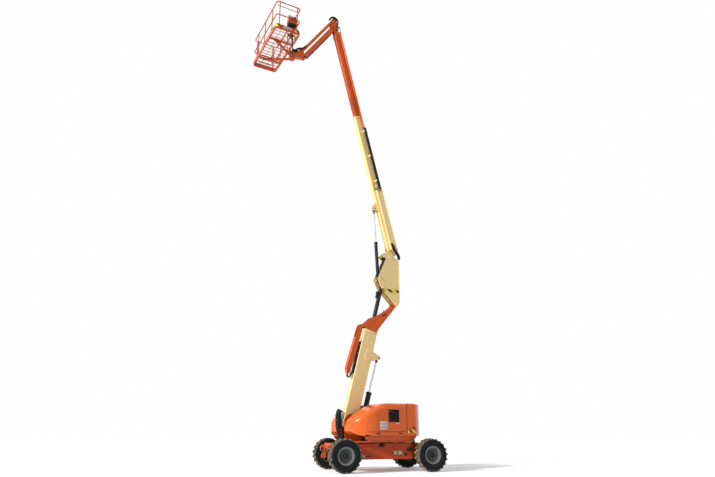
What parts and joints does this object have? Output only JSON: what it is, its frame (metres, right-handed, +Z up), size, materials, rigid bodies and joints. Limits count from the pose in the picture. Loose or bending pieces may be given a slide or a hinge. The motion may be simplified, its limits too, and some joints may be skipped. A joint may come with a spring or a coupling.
{
  "type": "articulating boom lift",
  "caption": "Self-propelled aerial work platform: a wheeled carrier and turntable with a telescoping tower boom, upright, telescoping main boom and jib that lift a railed platform.",
  "frame": {"origin": "on the floor under the slewing axis", "axes": "+Z up, +X along the carrier toward the counterweight and steer axle, -X toward the platform; the upper works stand swung 12 degrees about +Z from the carrier"},
  "size_m": [6.5705, 3.3761, 16.5939],
  "materials": {
    "orange_paint": "gloss",
    "cream_paint": "gloss",
    "black_paint": "semi-gloss",
    "black_plastic": "matte",
    "rim_paint": "dusty satin",
    "tyre_rubber": "dusty matte",
    "chromed_rod": "polished",
    "ballast": "gloss",
    "console_plastic": "satin"
  },
  "bodies": {
    "chassis": {"chassis_frame": "orange_paint", "tie_down_lugs": "orange_paint", "fixed_axle": "black_paint", "steer_axle": "black_paint", "slew_ring": "black_paint"},
    "steer_near": {"knuckle_near": "black_paint"},
    "steer_far": {"knuckle_far": "black_paint"},
    "turntable": {"turntable_base": "orange_paint", "counterweight": "ballast", "engine_block": "black_paint", "hose_guard": "black_plastic"},
    "hood_near": {"hood_near": "orange_paint", "grille_near": "black_plastic"},
    "hood_far": {"hood_far": "orange_paint", "grille_far": "black_plastic"},
    "tower_base": {"lower_boom": "cream_paint", "tower_track": "black_plastic"},
    "tower_top": {"tower_fly": "orange_paint", "hose_channel": "black_paint"},
    "upright": {"upright": "cream_paint"},
    "tower_barrel": {"tower_cylinder_barrel": "black_paint"},
    "tower_rod": {"tower_cylinder_rod": "chromed_rod"},
    "level_barrel": {"level_cylinder_barrel": "black_paint"},
    "level_rod": {"level_cylinder_rod": "chromed_rod"},
    "main_barrel": {"main_cylinder_barrel": "black_paint"},
    "main_rod": {"main_cylinder_rod": "chromed_rod"},
    "main_base": {"main_boom_base": "cream_paint", "main_power_track": "black_plastic"},
    "main_top": {"main_fly": "orange_paint", "push_tube": "orange_paint"},
    "boom_head": {"head_knuckle": "orange_paint"},
    "jib": {"jib_tube": "orange_paint"},
    "jib_bar": {"jib_link": "orange_paint"},
    "jib_end": {"jib_head": "orange_paint"},
    "platform": {"platform_support": "orange_paint", "platform_floor": "cream_paint", "top_rail": "orange_paint", "middle_rail": "orange_paint", "rail_posts": "orange_paint", "console": "console_plastic"},
    "gate": {"platform_gate": "orange_paint"},
    "wheel_front_near": {"tyre_front_near": "tyre_rubber", "rim_front_near": "rim_paint"},
    "wheel_front_far": {"tyre_front_far": "tyre_rubber", "rim_front_far": "rim_paint"},
    "wheel_rear_near": {"tyre_rear_near": "tyre_rubber", "rim_rear_near": "rim_paint"},
    "wheel_rear_far": {"tyre_rear_far": "tyre_rubber", "rim_rear_far": "rim_paint"}
  },
  "joints": [
    {"name": "steer_near", "type": "hinge", "parent": "chassis", "child": "steer_near", "pos_m": [1.37, -0.93, 0.48], "axis": [0, 0, 1], "range_deg": [-30, 30]},
    {"name": "steer_far", "type": "hinge", "parent": "chassis", "child": "steer_far", "pos_m": [1.37, 0.93, 0.48], "axis": [0, 0, 1], "range_deg": [-30, 30]},
    {"name": "roll_front_near", "type": "hinge", "parent": "chassis", "child": "wheel_front_near", "pos_m": [-1.37, -1.06, 0.48], "axis": [0, 1, 0], "continuous": true},
    {"name": "roll_front_far", "type": "hinge", "parent": "chassis", "child": "wheel_front_far", "pos_m": [-1.37, 1.06, 0.48], "axis": [0, 1, 0], "continuous": true},
    {"name": "roll_rear_near", "type": "hinge", "parent": "steer_near", "child": "wheel_rear_near", "pos_m": [1.37, -1.06, 0.48], "axis": [0, 1, 0], "continuous": true},
    {"name": "roll_rear_far", "type": "hinge", "parent": "steer_far", "child": "wheel_rear_far", "pos_m": [1.37, 1.06, 0.48], "axis": [0, 1, 0], "continuous": true},
    {"name": "swing", "type": "hinge", "parent": "chassis", "child": "turntable", "pos_m": [0, 0, 0.85], "axis": [0, 0, 1], "range_deg": [-180, 180]},
    {"name": "hood_near_lift", "type": "hinge", "parent": "turntable", "child": "hood_near", "pos_m": [0.03722, -0.17509, 1.88], "axis": [-0.9781, -0.2079, 0], "range_deg": [0, 60]},
    {"name": "hood_far_lift", "type": "hinge", "parent": "turntable", "child": "hood_far", "pos_m": [-0.03722, 0.17509, 1.88], "axis": [0.9781, 0.2079, 0], "range_deg": [0, 60]},
    {"name": "tower_lift", "type": "hinge", "parent": "turntable", "child": "tower_base", "pos_m": [-1.01727, -0.21623, 1.43], "axis": [0.2079, -0.9781, 0], "range_deg": [-75, 0]},
    {"name": "tower_telescope", "type": "slide", "parent": "tower_base", "child": "tower_top", "axis": [0.2532, 0.0538, 0.9659], "range_m": [0, 1.05]},
    {"name": "upright_level", "type": "hinge", "parent": "tower_top", "child": "upright", "pos_m": [0.72219, 0.15351, 5.35446], "axis": [0.2079, -0.9781, 0], "range_deg": [0, 75]},
    {"name": "tower_barrel_swing", "type": "hinge", "parent": "turntable", "child": "tower_barrel", "pos_m": [-0.65536, -0.1393, 1.03], "axis": [0.2079, -0.9781, 0], "range_deg": [-78.12, 0.5]},
    {"name": "tower_rod_slide", "type": "slide", "parent": "tower_barrel", "child": "tower_rod", "axis": [0.2649, 0.0563, 0.9626], "range_m": [-0.6685, 0.005]},
    {"name": "level_barrel_swing", "type": "hinge", "parent": "upright", "child": "level_barrel", "pos_m": [0.2103, 0.0447, 5.9], "axis": [0.2079, -0.9781, 0], "range_deg": [-79.74, 0.5]},
    {"name": "level_rod_slide", "type": "slide", "parent": "level_barrel", "child": "level_rod", "axis": [-0.2513, -0.0534, -0.9664], "range_m": [-0.9218, 0.005]},
    {"name": "main_lift", "type": "hinge", "parent": "upright", "child": "main_base", "pos_m": [0.51451, 0.10936, 7.035], "axis": [-0.2079, 0.9781, 0], "range_deg": [-75, 0]},
    {"name": "main_barrel_swing", "type": "hinge", "parent": "upright", "child": "main_barrel", "pos_m": [0.10466, 0.02225, 6.202], "axis": [-0.2079, 0.9781, 0], "range_deg": [-60.76, 0.5]},
    {"name": "main_rod_slide", "type": "slide", "parent": "main_barrel", "child": "main_rod", "axis": [-0.0574, -0.0122, 0.9983], "range_m": [-1.0014, 0.005]},
    {"name": "main_telescope", "type": "slide", "parent": "main_base", "child": "main_top", "axis": [-0.2532, -0.0538, 0.9659], "range_m": [-3.5, 0]},
    {"name": "head_level", "type": "hinge", "parent": "main_top", "child": "boom_head", "pos_m": [-1.70072, -0.3615, 16.06659], "axis": [-0.2079, 0.9781, 0], "range_deg": [0, 75]},
    {"name": "jib_lift", "type": "hinge", "parent": "boom_head", "child": "jib", "pos_m": [-1.81936, -0.38672, 16.13], "axis": [-0.2079, 0.9781, 0], "range_deg": [-3.4, 126.6]},
    {"name": "jib_bar_swing", "type": "hinge", "parent": "boom_head", "child": "jib_bar", "pos_m": [-1.80664, -0.38401, 16.53], "axis": [-0.2079, 0.9781, 0], "range_deg": [-3.4, 126.6]},
    {"name": "jib_level", "type": "hinge", "parent": "jib", "child": "jib_end", "pos_m": [-2.96087, -0.62935, 14.36012], "axis": [-0.2079, 0.9781, 0], "range_deg": [-126.6, 3.4]},
    {"name": "platform_turn", "type": "hinge", "parent": "jib_end", "child": "platform", "pos_m": [-3.42352, -0.72769, 14.33], "axis": [0, 0, 1], "range_deg": [-90, 90]},
    {"name": "gate_swing", "type": "hinge", "parent": "platform", "child": "gate", "pos_m": [-4.61028, 0.24788, 14.7], "axis": [0, 0, -1], "range_deg": [0, 90]}
  ],
  "couplings": [
    {"joint": "steer_far", "follows": "steer_near", "ratio": 1},
    {"joint": "upright_level", "follows": "tower_lift", "ratio": -1},
    {"joint": "tower_barrel_swing", "follows": "tower_lift", "ratio": 1.0282},
    {"joint": "tower_rod_slide", "follows": "tower_lift", "m_per_rad": 0.50307},
    {"joint": "level_barrel_swing", "follows": "tower_lift", "ratio": 1.0499},
    {"joint": "level_rod_slide", "follows": "tower_lift", "m_per_rad": 0.69654},
    {"joint": "main_barrel_swing", "follows": "main_lift", "ratio": 0.79679},
    {"joint": "main_rod_slide", "follows": "main_lift", "m_per_rad": 0.75738},
    {"joint": "head_level", "follows": "main_lift", "ratio": -1},
    {"joint": "jib_bar_swing", "follows": "jib_lift", "ratio": 1},
    {"joint": "jib_level", "follows": "jib_lift", "ratio": -1}
  ]
}
